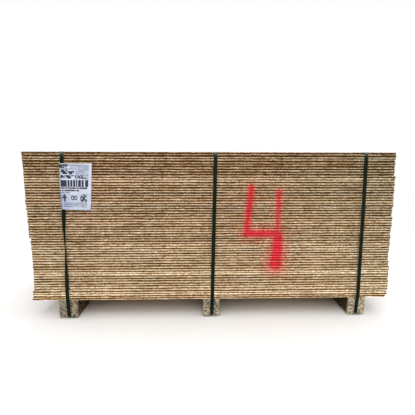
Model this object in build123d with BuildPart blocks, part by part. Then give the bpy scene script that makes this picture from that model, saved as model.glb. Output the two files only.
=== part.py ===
"""A stack of sawn OSB panels on three bearers, held by three straps, with a label in front.

Lengths are in millimetres. X runs along the panels, the front looks to -Y, Z is up,
and the floor is Z = 0.
"""
import os
from math import cos, radians, sin, sqrt

from build123d import *

# Panels: all of one size, a little out of line with one another
PANEL_LENGTH = 2500.0
PANEL_WIDTH = 1250.0
PANEL_THICKNESS = 17.45
PANEL_SEAM = 0.2
PANEL_SHUFFLE_LENGTHWISE = 1.6
PANEL_SHUFFLE_CROSSWISE = 1.0
SHUFFLE_TURN = 137.5
SHUFFLE_TURN_CROSSWISE = 222.0

# Tiers, from the lowest to the highest: panels set down together, a little off the tier below
TIER_COUNTS = (1, 3, 3, 2, 2, 2, 2, 5, 5, 3, 3, 2, 3, 2, 2, 9, 4, 5)
TIER_SHIFT = 10.0
TIER_SHIFT_SHARES = (
    -0.80, 0.08, 0.83, 0.81, 0.80, 0.84, 0.45, 0.30, 0.34,
    -0.19, 0.01, -0.14, -0.32, -0.25, -0.36, -0.38, -0.77, -0.88,
)
TIER_SETBACK = 10.0
TIER_SETBACK_SHARES = (
    -0.60, -0.95, -0.23, 0.20, 0.30, 0.18, 0.76, 1.20, 0.94,
    0.54, 0.26, 0.08, 0.74, 0.07, -0.21, 0.27, 1.08, 0.83,
)

# Lifts, from the lowest to the highest: how many tiers each of them takes
LIFT_TIERS = (2, 4, 3, 4, 3, 2)

# Bearers
BEARER_LEFT_WIDTH = 126.0
BEARER_MIDDLE_WIDTH = 117.0
BEARER_RIGHT_WIDTH = 120.0
BEARER_HEIGHT = 143.0
BEARER_SETBACK = 5.0
BEARER_LEFT_INSET = 231.5
BEARER_MIDDLE_OFFSET = -9.5
BEARER_RIGHT_INSET = 207.0
BEARER_CORNER_RADIUS = 17.0
BEARER_END_CHAMFER = 4.0
CHANNEL_WIDTH = 32.0
CHANNEL_DEPTH = 8.0

# Straps
STRAP_WIDTH = 25.0
STRAP_THICKNESS = 1.0
STRAP_CLEARANCE = 0.3
STRAP_LEFT_OFFSET = 3.0
STRAP_MIDDLE_OFFSET = 3.0
STRAP_RIGHT_OFFSET = -3.0
STRAP_LEFT_LEAN = 18.0
STRAP_MIDDLE_LEAN = 22.0
STRAP_RIGHT_LEAN = -5.0

# The half twist in the front run of the left strap: places down along it, and turn so far
TWIST_BELOW_LABEL = 10.0
TWIST_ABOVE_BEARER = 145.0
TWIST_NEAR = 45.0
TWIST_OVERLAP = 4.0
TWIST_EASE = 0.02
TWIST_TURN = 180.0
TWIST_SHARES = (
    (0.0, 0.0),
    (0.07, 0.12),
    (0.15, 0.26),
    (0.25, 0.39),
    (0.35, 0.48),
    (0.43, 0.505),
    (0.475, 0.555),
    (0.525, 0.7),
    (0.56, 0.735),
    (0.64, 0.755),
    (0.7, 0.778),
    (0.8, 0.85),
    (0.9, 0.92),
    (1.0, 1.0),
)

# Label
LABEL_WIDTH_ABOVE = 211.0
LABEL_WIDTH_BELOW = 193.5
LABEL_HEIGHT = 312.0
LABEL_THICKNESS = 0.4
LABEL_OFFSET = 4.0
LABEL_BELOW_TOP = 76.5
LABEL_RAISED_SHARE = 0.2
LABEL_SLOPE_SHARE = 0.2

PANEL_PITCH = PANEL_THICKNESS + PANEL_SEAM
PANEL_TOTAL = sum(TIER_COUNTS)
STACK_TOP = BEARER_HEIGHT + PANEL_TOTAL * PANEL_PITCH - PANEL_SEAM
BEARER_LENGTH = PANEL_WIDTH - 2 * BEARER_SETBACK
BEARER_LEFT_X = BEARER_LEFT_INSET - PANEL_LENGTH / 2
BEARER_MIDDLE_X = BEARER_MIDDLE_OFFSET
BEARER_RIGHT_X = PANEL_LENGTH / 2 - BEARER_RIGHT_INSET
LABEL_LEFT = BEARER_LEFT_X + LABEL_OFFSET
LABEL_TOP = STACK_TOP - LABEL_BELOW_TOP
LABEL_BOTTOM = LABEL_TOP - LABEL_HEIGHT
TWIST_TOP = LABEL_BOTTOM - TWIST_BELOW_LABEL
TWIST_LENGTH = TWIST_TOP - BEARER_HEIGHT - TWIST_ABOVE_BEARER

panel_places = []
load_corners = [(-BEARER_LENGTH / 2, CHANNEL_DEPTH), (BEARER_LENGTH / 2, CHANNEL_DEPTH)]
for tier, count in enumerate(TIER_COUNTS):
    shift = TIER_SHIFT * TIER_SHIFT_SHARES[tier]
    setback = TIER_SETBACK * TIER_SETBACK_SHARES[tier]
    bottom = BEARER_HEIGHT + len(panel_places) * PANEL_PITCH
    for _ in range(count):
        k = len(panel_places)
        x = shift + PANEL_SHUFFLE_LENGTHWISE * sin(radians(SHUFFLE_TURN * k))
        y = setback + PANEL_SHUFFLE_CROSSWISE * sin(radians(SHUFFLE_TURN_CROSSWISE * k))
        panel_places.append((x, y, BEARER_HEIGHT + k * PANEL_PITCH))
    top = BEARER_HEIGHT + len(panel_places) * PANEL_PITCH - PANEL_SEAM
    reach = PANEL_WIDTH / 2 + PANEL_SHUFFLE_CROSSWISE
    for z in (bottom, top):
        load_corners += [(setback - reach, z), (setback + reach, z)]


def half_hull(points):
    """The lower half of the tightest outline round points that come in order along it."""
    kept = []
    for y, z in points:
        while len(kept) > 1:
            (y1, z1), (y2, z2) = kept[-2:]
            if (y2 - y1) * (z - z1) > (z2 - z1) * (y - y1):
                break
            kept.pop()
        kept.append((y, z))
    return kept[:-1]


# The tight outline of the load, seen along X, that a strap is pulled round
load_corners.sort()
load_outline = half_hull(load_corners) + half_hull(load_corners[::-1])


def front_run(z):
    """Where the tight outline is in front at a height, and how much that changes with height."""
    front = sorted((z0, y0) for y0, z0 in load_outline if y0 < 0)
    for (z1, y1), (z2, y2) in zip(front, front[1:]):
        if z <= z2:
            break
    slope = (y2 - y1) / (z2 - z1)
    return y1 + slope * (z - z1), slope


def clear_run(z, reach):
    """Where the middle of a strap runs in front: on the tight outline, or as far out as it must."""
    tight = front_run(z)[0] - STRAP_THICKNESS / 2
    near = [y for _, y, bottom in panel_places if abs(bottom - z) < TWIST_NEAR]
    clear = min(near) - PANEL_WIDTH / 2 - reach
    return min(tight, clear) - STRAP_CLEARANCE


def panels(places):
    """Plain sawn boards, each one lying just clear of the next."""
    with BuildPart() as boards:
        for x, y, z in places:
            with BuildSketch(Plane.XY.offset(z)):
                with Locations((x, y)):
                    Rectangle(PANEL_LENGTH, PANEL_WIDTH)
            extrude(amount=PANEL_THICKNESS)
    return boards


def bearer(x, width, strap_offset):
    """A block with rounded lower edges and a channel for the strap in its underside."""
    with BuildPart() as block:
        with BuildSketch(Plane.XY):
            with Locations((x, 0)):
                Rectangle(width, BEARER_LENGTH)
        extrude(amount=BEARER_HEIGHT)
        lowest = block.edges().group_by(Axis.Z)[0]
        fillet(lowest.filter_by(Axis.Y), radius=BEARER_CORNER_RADIUS)
        ends = block.edges().group_by(Axis.Z)[0].filter_by(Axis.X)
        chamfer(ends, length=BEARER_END_CHAMFER)
        with BuildSketch(Plane.XY):
            with Locations((x + strap_offset, 0)):
                Rectangle(CHANNEL_WIDTH, BEARER_LENGTH)
        extrude(amount=CHANNEL_DEPTH, mode=Mode.SUBTRACT)
    return block


def strap_plane(x, lean):
    """The plane a strap's loop lies in: it holds Y, and leans so that the top is off to X."""
    side = -STRAP_WIDTH / 2
    return Plane(origin=(x + side, 0, 0), x_dir=(0, 1, 0), z_dir=(STACK_TOP, 0, -lean))


def strap_outline(lean):
    """The tight outline of the load, in the leaning plane."""
    slant = sqrt(STACK_TOP**2 + lean**2) / STACK_TOP
    return [(y, z * slant) for y, z in load_outline]


def strap(x, lean):
    """A closed loop of flat strap."""
    with BuildPart() as loop:
        with BuildSketch(strap_plane(x, lean)):
            with BuildLine():
                Polyline(*strap_outline(lean), close=True)
            make_face()
            offset(amount=STRAP_CLEARANCE + STRAP_THICKNESS, kind=Kind.INTERSECTION)
        extrude(amount=STRAP_WIDTH, dir=(1, 0, 0))
        with BuildSketch(strap_plane(x, lean)):
            with BuildLine():
                Polyline(*strap_outline(lean), close=True)
            make_face()
            offset(amount=STRAP_CLEARANCE, kind=Kind.INTERSECTION)
        extrude(amount=STRAP_WIDTH, dir=(1, 0, 0), mode=Mode.SUBTRACT)
    return loop


def twisted_strap(x, lean):
    """The same loop with a half twist in its front run."""
    plain = strap(x, lean)
    with BuildPart() as loop:
        add(plain.part)
        with BuildSketch(Plane.XY.offset(TWIST_TOP)):
            with Locations((x, front_run(TWIST_TOP)[0])):
                Rectangle(STRAP_WIDTH + 2 * abs(lean), STRAP_WIDTH)
        extrude(amount=-TWIST_LENGTH, mode=Mode.SUBTRACT)
    stations = [(TWIST_LENGTH * along, turned) for along, turned in TWIST_SHARES]
    stations.insert(0, (-TWIST_OVERLAP, stations[0][1]))
    stations.append((TWIST_LENGTH + TWIST_OVERLAP, stations[-1][1]))
    with BuildPart() as twist:
        for down, turned in stations:
            turn = radians(TWIST_TURN * turned)
            z = TWIST_TOP - down
            reach = STRAP_WIDTH / 2 * abs(sin(turn)) + STRAP_THICKNESS / 2 * abs(cos(turn))
            centre = (x + lean * z / STACK_TOP, clear_run(z, reach), z)
            across = (cos(turn), sin(turn), 0)
            with BuildSketch(Plane(origin=centre, x_dir=across, z_dir=(0, 0, 1))):
                Rectangle(STRAP_WIDTH - 2 * TWIST_EASE, STRAP_THICKNESS - 2 * TWIST_EASE)
        loft(ruled=True)
    with BuildPart() as whole:
        add(loop.part)
        add(twist.part)
    return whole


def label_section(width, flat):
    """The sheet's section: raised at its left where it passes over the strap, flat at its right."""
    raised = flat - STRAP_THICKNESS - STRAP_CLEARANCE
    right = LABEL_LEFT + width
    slope_start = LABEL_LEFT + width * LABEL_RAISED_SHARE
    slope_end = slope_start + width * LABEL_SLOPE_SHARE
    inner = [(LABEL_LEFT, raised), (slope_start, raised), (slope_end, flat), (right, flat)]
    outer = [(x, y - LABEL_THICKNESS) for x, y in reversed(inner)]
    return inner + outer


def paper_label():
    """A sheet over the strap that is narrower below, since its left side is tucked away."""
    front, slope = front_run(LABEL_TOP)
    flat = front - STRAP_CLEARANCE
    with BuildPart() as sheet:
        with BuildSketch(Plane.XY.offset(LABEL_BOTTOM)):
            with BuildLine():
                Polyline(*label_section(LABEL_WIDTH_BELOW, flat - slope * LABEL_HEIGHT), close=True)
            make_face()
        with BuildSketch(Plane.XY.offset(LABEL_TOP)):
            with BuildLine():
                Polyline(*label_section(LABEL_WIDTH_ABOVE, flat), close=True)
            make_face()
        loft(ruled=True)
    return sheet


os.makedirs("parts", exist_ok=True)

first = 0
first_tier = 0
for lift, tiers in enumerate(LIFT_TIERS):
    last = first + sum(TIER_COUNTS[first_tier:first_tier + tiers])
    if lift == len(LIFT_TIERS) - 1:
        last -= 1
    boards = panels(panel_places[first:last])
    boards.part.label = f"panel_lift_{lift + 1}"
    export_step(boards.part, f"parts/panel_lift_{lift + 1}.step")
    first = last
    first_tier += tiers

top_panel = panels(panel_places[first:])
top_panel.part.label = "top_panel"
export_step(top_panel.part, "parts/top_panel.step")

bearer_left = bearer(BEARER_LEFT_X, BEARER_LEFT_WIDTH, STRAP_LEFT_OFFSET)
bearer_left.part.label = "bearer_left"
export_step(bearer_left.part, "parts/bearer_left.step")

bearer_middle = bearer(BEARER_MIDDLE_X, BEARER_MIDDLE_WIDTH, STRAP_MIDDLE_OFFSET)
bearer_middle.part.label = "bearer_middle"
export_step(bearer_middle.part, "parts/bearer_middle.step")

bearer_right = bearer(BEARER_RIGHT_X, BEARER_RIGHT_WIDTH, STRAP_RIGHT_OFFSET)
bearer_right.part.label = "bearer_right"
export_step(bearer_right.part, "parts/bearer_right.step")

strap_left = twisted_strap(BEARER_LEFT_X + STRAP_LEFT_OFFSET, STRAP_LEFT_LEAN)
strap_left.part.label = "strap_left"
export_step(strap_left.part, "parts/strap_left.step")

strap_middle = strap(BEARER_MIDDLE_X + STRAP_MIDDLE_OFFSET, STRAP_MIDDLE_LEAN)
strap_middle.part.label = "strap_middle"
export_step(strap_middle.part, "parts/strap_middle.step")

strap_right = strap(BEARER_RIGHT_X + STRAP_RIGHT_OFFSET, STRAP_RIGHT_LEAN)
strap_right.part.label = "strap_right"
export_step(strap_right.part, "parts/strap_right.step")

label = paper_label()
label.part.label = "label"
export_step(label.part, "parts/label.step")
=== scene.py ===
"""Dresses a strapped stack of OSB panels: boards, bearers, straps, a label and a plain stage.

Lengths are in metres, in the frame of the packed model: X along the boards, front to -Y, Z up.
"""
from math import pi, radians

import bpy
import numpy as np
from mathutils import Matrix, Vector
from mathutils.geometry import convex_hull_2d


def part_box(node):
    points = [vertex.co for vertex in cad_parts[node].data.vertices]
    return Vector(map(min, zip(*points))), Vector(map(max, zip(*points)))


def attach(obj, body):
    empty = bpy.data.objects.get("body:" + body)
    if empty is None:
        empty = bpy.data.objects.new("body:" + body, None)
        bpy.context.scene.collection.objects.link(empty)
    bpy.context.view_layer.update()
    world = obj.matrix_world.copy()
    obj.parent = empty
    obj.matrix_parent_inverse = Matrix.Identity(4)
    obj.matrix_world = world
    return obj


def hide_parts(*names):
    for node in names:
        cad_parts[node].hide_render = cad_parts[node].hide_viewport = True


bl_info = {
    "name": "Strapped OSB stack",
    "version": (1, 0, 0),
    "blender": (4, 5, 0),
    "location": "View3D > Sidebar > OSB stack",
    "description": "Builds the visible boards, bearers, straps and label over the stack's frame",
    "category": "Add Mesh",
}

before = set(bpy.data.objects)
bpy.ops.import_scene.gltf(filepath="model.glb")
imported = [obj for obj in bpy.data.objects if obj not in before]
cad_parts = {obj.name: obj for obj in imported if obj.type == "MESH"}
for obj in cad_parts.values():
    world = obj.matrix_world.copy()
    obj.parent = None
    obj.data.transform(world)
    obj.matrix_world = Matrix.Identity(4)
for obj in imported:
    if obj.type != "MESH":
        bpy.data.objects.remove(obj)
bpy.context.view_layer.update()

BODY = "root"
MM = 0.001
LIFT_NODES = [name for name in sorted(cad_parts) if name.startswith("panel_lift_")]
TOP_NODE = "top_panel"
SIDES = ("left", "middle", "right")


# Settings that a user would change

def length_setting(name, description, default):
    return bpy.props.FloatProperty(name=name, description=description, default=default, unit="LENGTH")


def angle_setting(name, description, degrees):
    return bpy.props.FloatProperty(name=name, description=description, default=radians(degrees),
                                   subtype="ANGLE")


def colour_setting(name, description, default):
    return bpy.props.FloatVectorProperty(name=name, description=description, default=default,
                                         subtype="COLOR", min=0, max=1)


class BoardSettings(bpy.types.PropertyGroup):
    """Sawn edges and faces of the boards."""
    edge_step: length_setting("Edge step", "Spacing of mesh columns along a sawn edge", 0.0115)
    core_recess: length_setting("Core recess", "How far the loose core lies behind the faces", 0.0017)
    void_depth: length_setting("Void depth", "Depth of the holes between core strands", 0.006)
    eased_edge: length_setting("Eased edge", "How far a board's sharp edges are worn back", 0.0006)
    layer_wave: length_setting("Layer wave", "How far the layers wander up and down", 0.0009)
    face_light: colour_setting("Face light", "Pale strands of the face layers", (1.0, 0.962, 0.845))
    face_dark: colour_setting("Face dark", "Dark strands of the face layers", (0.47, 0.295, 0.135))
    core_light: colour_setting("Core light", "Pale strand ends in the core", (0.29, 0.143, 0.042))
    core_dark: colour_setting("Core dark", "Dark strand ends and holes", (0.044, 0.017, 0.002))
    seed: bpy.props.IntProperty(
        name="Seed", description="Start of the random numbers for the edges", default=7)


class PaintSettings(bpy.types.PropertyGroup):
    """The plain number sprayed on the front."""
    colour: colour_setting("Paint", "Colour of the sprayed number", (0.80, 0.022, 0.045))
    softness: length_setting("Softness", "Width of the blurred rim of a sprayed stroke", 0.022)
    overspray: length_setting("Overspray", "How far the haze reaches round the strokes", 0.085)


class BearerSettings(bpy.types.PropertyGroup):
    """Pressed-chip bearers."""
    chip_light: colour_setting("Chip light", "Pale chips", (0.54, 0.457, 0.328))
    chip_dark: colour_setting("Chip dark", "Dark chips and bark", (0.090, 0.070, 0.040))
    corner_radius: length_setting("Corner radius", "Radius of the lower long edges", 0.017)
    end_chamfer: length_setting("End chamfer", "Chamfer of the lower end edges", 0.004)
    channel_width: length_setting("Channel width", "Width of the strap channel underneath", 0.032)
    channel_depth: length_setting("Channel depth", "Depth of the strap channel underneath", 0.008)
    roughness_depth: length_setting("Roughness depth", "Depth of the pits in the sawn ends", 0.0025)


class StrapSettings(bpy.types.PropertyGroup):
    """Embossed plastic straps."""
    width: length_setting("Width", "Width of the strap", 0.025)
    thickness: length_setting("Thickness", "Thickness of the strap", 0.001)
    bend_radius: length_setting("Bend radius", "Radius of the strap's middle over an edge", 0.0025)
    twist_gap: length_setting("Twist gap", "From the label's lower edge down to the twist", 0.010)
    twist_foot: length_setting("Twist foot", "From the lowest board up to the twist", 0.145)
    colour: colour_setting("Colour", "Colour of the plastic", (0.006, 0.012, 0.007))


class LabelSettings(bpy.types.PropertyGroup):
    """Paper label with generic print."""
    paper: colour_setting("Paper", "Colour of the paper", (0.30, 0.335, 0.445))
    ink: colour_setting("Ink", "Colour of the print", (0.012, 0.014, 0.026))
    curl: length_setting("Curl", "How far the lower edge stands off the boards", 0.010)


class StageSettings(bpy.types.PropertyGroup):
    """Camera, lights and floor."""
    camera_place: bpy.props.FloatVectorProperty(
        name="Camera place", description="Where the camera stands",
        default=(-0.1, -2.7092, 1.1018), subtype="TRANSLATION")
    camera_yaw: angle_setting("Yaw", "Turn of the camera to the right", 1.691)
    camera_pitch: angle_setting("Pitch", "Downward tilt of the camera", 8.384)
    camera_roll: angle_setting("Roll", "Roll of the camera", 0.123)
    lens: bpy.props.FloatProperty(
        name="Lens", description="Focal length on a 36 mm sensor", default=26.89, unit="CAMERA")
    sky: bpy.props.FloatProperty(
        name="Sky", description="Strength of the even light from all round", default=0.60)
    floor: colour_setting("Floor", "Colour of the floor", (0.86, 0.86, 0.86))


# Shader maths

def math_method(operation, reflected=False):
    """A method that adds a Math node to a wire; the wire comes last if it is reflected."""
    def method(self, *others):
        values = (*others, self) if reflected else (self, *others)
        return self.finish.node("Math", {"operation": operation}, dict(enumerate(values)))
    return method


class Wire:
    """A value in a node tree. A sum with it adds a Math node."""

    def __init__(self, finish, socket):
        self.finish = finish
        self.socket = socket

    __add__ = math_method("ADD")
    __radd__ = math_method("ADD", reflected=True)
    __sub__ = math_method("SUBTRACT")
    __rsub__ = math_method("SUBTRACT", reflected=True)
    __mul__ = math_method("MULTIPLY")
    __rmul__ = math_method("MULTIPLY", reflected=True)
    __truediv__ = math_method("DIVIDE")
    __rtruediv__ = math_method("DIVIDE", reflected=True)
    __abs__ = math_method("ABSOLUTE")
    __gt__ = math_method("GREATER_THAN")
    __lt__ = math_method("LESS_THAN")
    lowest = math_method("MINIMUM")
    highest = math_method("MAXIMUM")
    whole = math_method("FLOOR")
    wave = math_method("SINE")
    root = math_method("SQRT")


class Finish:
    """The node tree of one material or world, and short ways to add to it."""

    def __init__(self, name, library="materials"):
        self.owner = getattr(bpy.data, library).new(name)
        self.owner.use_nodes = True
        self.tree = self.owner.node_tree
        self.tree.nodes.clear()

    def node(self, kind, settings=None, sockets=None, output=0):
        """Adds a node: its settings first, then the values or links of its sockets."""
        made = self.tree.nodes.new("ShaderNode" + kind)
        for key, value in (settings or {}).items():
            if key == "stops":
                self.set_stops(made.color_ramp, value)
            else:
                setattr(made, key, value)
        for key, value in (sockets or {}).items():
            if isinstance(value, Wire):
                self.tree.links.new(value.socket, made.inputs[key])
            else:
                made.inputs[key].default_value = value
        return Wire(self, made.outputs[output]) if made.outputs else None

    @staticmethod
    def set_stops(ramp, stops):
        """Gives a colour ramp its (place, colour) stops."""
        while len(ramp.elements) < len(stops):
            ramp.elements.new(1.0)
        for element, (place, colour) in zip(ramp.elements, stops):
            element.position = place
            element.color = (*colour, 1.0)

    def place(self):
        return self.node("TexCoord", output="Object")

    def parts(self, vector):
        made = self.node("SeparateXYZ", None, {0: vector})
        outputs = made.socket.node.outputs
        return [Wire(self, outputs[axis]) for axis in range(3)]

    def vector(self, x, y, z):
        return self.node("CombineXYZ", None, {0: x, 1: y, 2: z})

    def attribute(self, name):
        return self.node("Attribute", {"attribute_name": name}, None, "Fac")

    def noise(self, x, y, z, detail=2.0, roughness=0.5):
        """Smooth noise, about 0.5, with a period of about 1 along each axis."""
        sockets = {"Vector": self.vector(x, y, z), "Scale": 1.0, "Detail": detail,
                   "Roughness": roughness}
        return self.node("TexNoise", None, sockets)

    def random(self, value):
        """An even random number from 0 to 1 for each value."""
        return self.node("TexWhiteNoise", {"noise_dimensions": "1D"}, {"W": value})

    def random_pair(self, x, y):
        """An even random number from 0 to 1 for each pair of values."""
        place = self.vector(x, y, 0.0)
        return self.node("TexWhiteNoise", {"noise_dimensions": "2D"}, {"Vector": place})

    def cells(self, vector, dimensions="3D", randomness=1.0):
        """Three random numbers for each Voronoi cell."""
        settings = {"voronoi_dimensions": dimensions}
        sockets = {"Vector": vector, "Scale": 1.0, "Randomness": randomness}
        return self.parts(self.node("TexVoronoi", settings, sockets, "Color"))

    def ramp(self, stops, value):
        """Colour from a list of (place, colour) stops."""
        return self.node("ValToRGB", {"stops": stops}, {0: value})

    def white_ray(self):
        """1 for the camera's rays and for reflections, 0 for light that falls on things."""
        seen = self.node("LightPath", None, None, "Is Camera Ray")
        return seen.highest(self.node("LightPath", None, None, "Is Glossy Ray"))

    def smooth(self, low, high, value):
        """0 below low and 1 above high, with a smooth step between; low may be the higher."""
        sockets = {"Value": value, "From Min": low, "From Max": high}
        return self.node("MapRange", {"interpolation_type": "SMOOTHSTEP"}, sockets)

    def mix(self, factor, first, second, blend="MIX"):
        """Colour from first, at 0, to second, at 1."""
        settings = {"data_type": "RGBA", "blend_type": blend}
        sockets = {0: factor, 6: self.opaque(first), 7: self.opaque(second)}
        return self.node("Mix", settings, sockets, 2)

    def shade(self, colour, factor):
        """The colour times a grey value."""
        grey = self.node("CombineColor", None, {0: factor, 1: factor, 2: factor})
        return self.mix(1.0, colour, grey, "MULTIPLY")

    @staticmethod
    def opaque(colour):
        return colour if isinstance(colour, Wire) else (*colour, 1.0)

    def bump(self, height, distance, strength):
        sockets = {"Strength": strength, "Distance": distance, "Height": height}
        return self.node("Bump", None, sockets)

    def surface(self, **sockets):
        """Ends the tree in a Principled shader. Underscores stand for spaces in socket names."""
        named = {key.replace("_", " "): value for key, value in sockets.items()}
        shader = self.node("BsdfPrincipled", None, named)
        self.node("OutputMaterial", None, {"Surface": shader})
        return self.owner


# Mesh helpers

def unit(vectors):
    """Directions of the rows of an array."""
    return vectors / np.linalg.norm(vectors, axis=1)[:, None]


def first_of_each(counts):
    """Index at which each of several groups starts, from the groups' sizes."""
    return np.concatenate([[0], np.cumsum(counts)[:-1]])


def lengths_along(path):
    """Length of a path up to each of its points."""
    return np.concatenate([[0], np.cumsum(np.linalg.norm(np.diff(path, axis=0), axis=1))])


def smooth_noise(source, shape, length):
    """Random numbers smoothed along the last axis, which closes on itself, to unit spread.

    White noise goes through a Gaussian low-pass of the given length, in steps of the grid.
    """
    white = source.standard_normal(shape)
    pass_band = np.exp(-0.5 * (pi * length * np.fft.rfftfreq(shape[-1])) ** 2)
    soft = np.fft.irfft(np.fft.rfft(white) * pass_band, shape[-1])
    return soft / (soft.std() + 1e-9)


def step_up(low, high, value):
    """Smooth step from 0 at low to 1 at high."""
    share = np.clip((value - low) / (high - low), 0, 1)
    return share * share * (3 - 2 * share)


def make_mesh(name, points, faces, materials, slots=None, maps=None, values=None, smooth=None):
    """A mesh object at the origin, from whole arrays.

    faces is a list of (count, corners) index arrays; slots, smooth and the maps run in the same
    order. maps holds a (corner, 2) array for each UV map, and values a number for each point.
    """
    mesh = bpy.data.meshes.new(name)
    totals = np.concatenate([np.full(len(part), part.shape[1]) for part in faces])
    corners = np.concatenate([part.ravel() for part in faces])
    starts = first_of_each(totals)
    mesh.vertices.add(len(points))
    mesh.vertices.foreach_set("co", np.ascontiguousarray(points, np.float32).ravel())
    mesh.loops.add(len(corners))
    mesh.loops.foreach_set("vertex_index", corners.astype(np.int32))
    mesh.polygons.add(len(totals))
    mesh.polygons.foreach_set("loop_start", starts.astype(np.int32))
    if slots is not None:
        mesh.polygons.foreach_set("material_index", slots.astype(np.int32))
    soft = np.ones(len(totals), bool) if smooth is None else smooth
    mesh.polygons.foreach_set("use_smooth", soft)
    for key, places in (maps or {}).items():
        layer = mesh.uv_layers.new(name=key)
        layer.uv.foreach_set("vector", np.ascontiguousarray(places, np.float32).ravel())
    for key, numbers in (values or {}).items():
        layer = mesh.attributes.new(key, "FLOAT", "POINT")
        layer.data.foreach_set("value", np.ascontiguousarray(numbers, np.float32).ravel())
    mesh.update(calc_edges=True)
    if mesh.validate():
        raise RuntimeError(f"{name} has bad faces")
    for material in materials:
        mesh.materials.append(material)
    piece = bpy.data.objects.new(name, mesh)
    bpy.context.scene.collection.objects.link(piece)
    return piece


def grid_faces(rows, columns, closed=False):
    """Quads of a grid of points, row by row; closed joins the last column to the first."""
    row = np.arange(rows - 1)[:, None]
    column = np.arange(columns if closed else columns - 1)[None, :]
    following = (column + 1) % columns
    corners = [row * columns + column, row * columns + following,
               (row + 1) * columns + following, (row + 1) * columns + column]
    return np.stack(np.broadcast_arrays(*corners), -1).reshape(-1, 4)


def dress(piece, slot, *nodes):
    """The piece rides on the stack and stands for its CAD nodes; slot is not used."""
    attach(piece, BODY)
    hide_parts(*nodes)


def node_points(node):
    """Corner points of a CAD node."""
    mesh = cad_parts[node].data
    points = np.empty(len(mesh.vertices) * 3, np.float32)
    mesh.vertices.foreach_get("co", points)
    return points.reshape(-1, 3).astype(float)


def strap_line(side):
    """Middle of a strap across X at the floor, and how far it leans for each unit of height."""
    points = node_points("strap_" + side)
    low, high = points[:, 2].min(), points[:, 2].max()
    at_foot = points[points[:, 2] < low + MM / 2, 0]
    at_top = points[points[:, 2] > high - MM / 2, 0]
    foot = (at_foot.min() + at_foot.max()) / 2
    lean = ((at_top.min() + at_top.max()) / 2 - foot) / (high - low)
    return foot - lean * low, lean


def board_boxes(node):
    """Lowest and highest corner of every board in a node, as an array (boards, 2, 3)."""
    points = node_points(node)
    levels = np.unique(points[:, 2].round(5))
    boxes = []
    for bottom in levels[::2]:
        mine = points[abs(points[:, 2] - bottom) < MM / 20]
        top = levels[np.searchsorted(levels, bottom + MM)]
        low = [*mine[:, :2].min(0), bottom]
        high = [*mine[:, :2].max(0), top]
        boxes.append((low, high))
    return np.array(boxes)


# Boards

# Rows of the mesh through a board's thickness, as shares
THROUGH = np.array([0.0, 0.04, 0.20, 0.36, 0.5, 0.64, 0.80, 0.96, 1.0])
# Share of the bake map that the sawn edges take, and share of each of its rows that stays empty
EDGE_MAP_SHARE = 0.94
MAP_GUTTER = 0.1
# Lengths of the noises along a sawn edge, and depth of its fine roughness
SLOW_LENGTH = 0.12
QUICK_LENGTH = 0.025
HOLE_LENGTH = 0.02
WAVE_LENGTH = 0.09
ROUGH_DEPTH = 0.25 * MM
# From a board's sides to the inner corners of its flat faces
FACE_MARGIN = 0.04


def rim(length, width, step):
    """Once round a rectangle, counter-clockwise from its front left corner.

    Returns points, outward directions, side numbers, places along the side from 0 to 1, and how
    many points each side has. A corner's direction is the sum of its two sides', so an inset stays square.
    """
    counts = np.array([round(length / step), round(width / step)] * 2)
    corners = np.array([(0, 0), (length, 0), (length, width), (0, width), (0, 0)], float)
    outward = np.array([(0, -1), (1, 0), (0, 1), (-1, 0)], float)
    side = np.repeat(np.arange(4), counts)
    first = first_of_each(counts)
    share = (np.arange(len(side)) - first[side]) / counts[side]
    points = corners[side] + (corners[side + 1] - corners[side]) * share[:, None]
    directions = outward[side].copy()
    directions[first] += outward[np.arange(4) - 1]
    return points, directions, side, share, counts


def edge_inset(source, boards, columns, step, settings):
    """How far each point of the sawn edges lies behind the plane of the saw cut.

    Worn corners, plus a bump through the thickness that deepens with slow noise along the edge,
    plus holes in the core where a second noise is high, plus a fine roughness of every layer.
    """
    shape = (boards, len(THROUGH), columns)
    middle = np.exp(-(((THROUGH - 0.5) / 0.2) ** 2))[None, :, None]
    outer = np.where((THROUGH == 0) | (THROUGH == 1), 1.0, 0.0)[None, :, None]
    slow = smooth_noise(source, (boards, 1, columns), SLOW_LENGTH / step)
    quick = smooth_noise(source, shape, QUICK_LENGTH / step)
    holes = smooth_noise(source, shape, HOLE_LENGTH / step)
    rough = smooth_noise(source, shape, 1.5)
    board_depth = 0.75 + 0.5 * source.random((boards, 1, 1))
    uneven = np.clip(1 + 0.35 * slow + 0.5 * quick, 0.1, 2.5)
    core = settings.core_recess * middle * board_depth * uneven
    void = settings.void_depth * middle * step_up(1.7, 2.9, holes)
    fine = ROUGH_DEPTH * np.clip(rough + 1, 0, 3)
    worn = settings.eased_edge * outer * np.clip(1 + 0.4 * quick, 0.2, 2)
    return worn + core + void + fine


def edge_maps(boards, counts, side, share):
    """Bake map of the sawn edges: front, back and both ends of each board in rows of their own."""
    row_height = EDGE_MAP_SHARE / (3 * boards)
    row_of_side = np.array([0, 2, 1, 2])[side]
    start_of_side = np.array([0.0, 0.0, 0.0, 0.5])[side]
    span_of_side = np.array([1.0, 0.49, 1.0, 0.49])[side]
    left = start_of_side + span_of_side * share
    right = left + span_of_side / counts[side]
    board = np.arange(boards)[:, None, None]
    base = (3 * board + row_of_side[None, None, :] + MAP_GUTTER / 2) * row_height
    low = base + THROUGH[None, :-1, None] * row_height * (1 - MAP_GUTTER)
    high = base + THROUGH[None, 1:, None] * row_height * (1 - MAP_GUTTER)
    left = np.broadcast_to(left, low.shape)
    right = np.broadcast_to(right, low.shape)
    u = np.stack([left, right, right, left], -1)
    v = np.stack([low, low, high, high], -1)
    return np.stack([u, v], -1).reshape(-1, 2)


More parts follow.
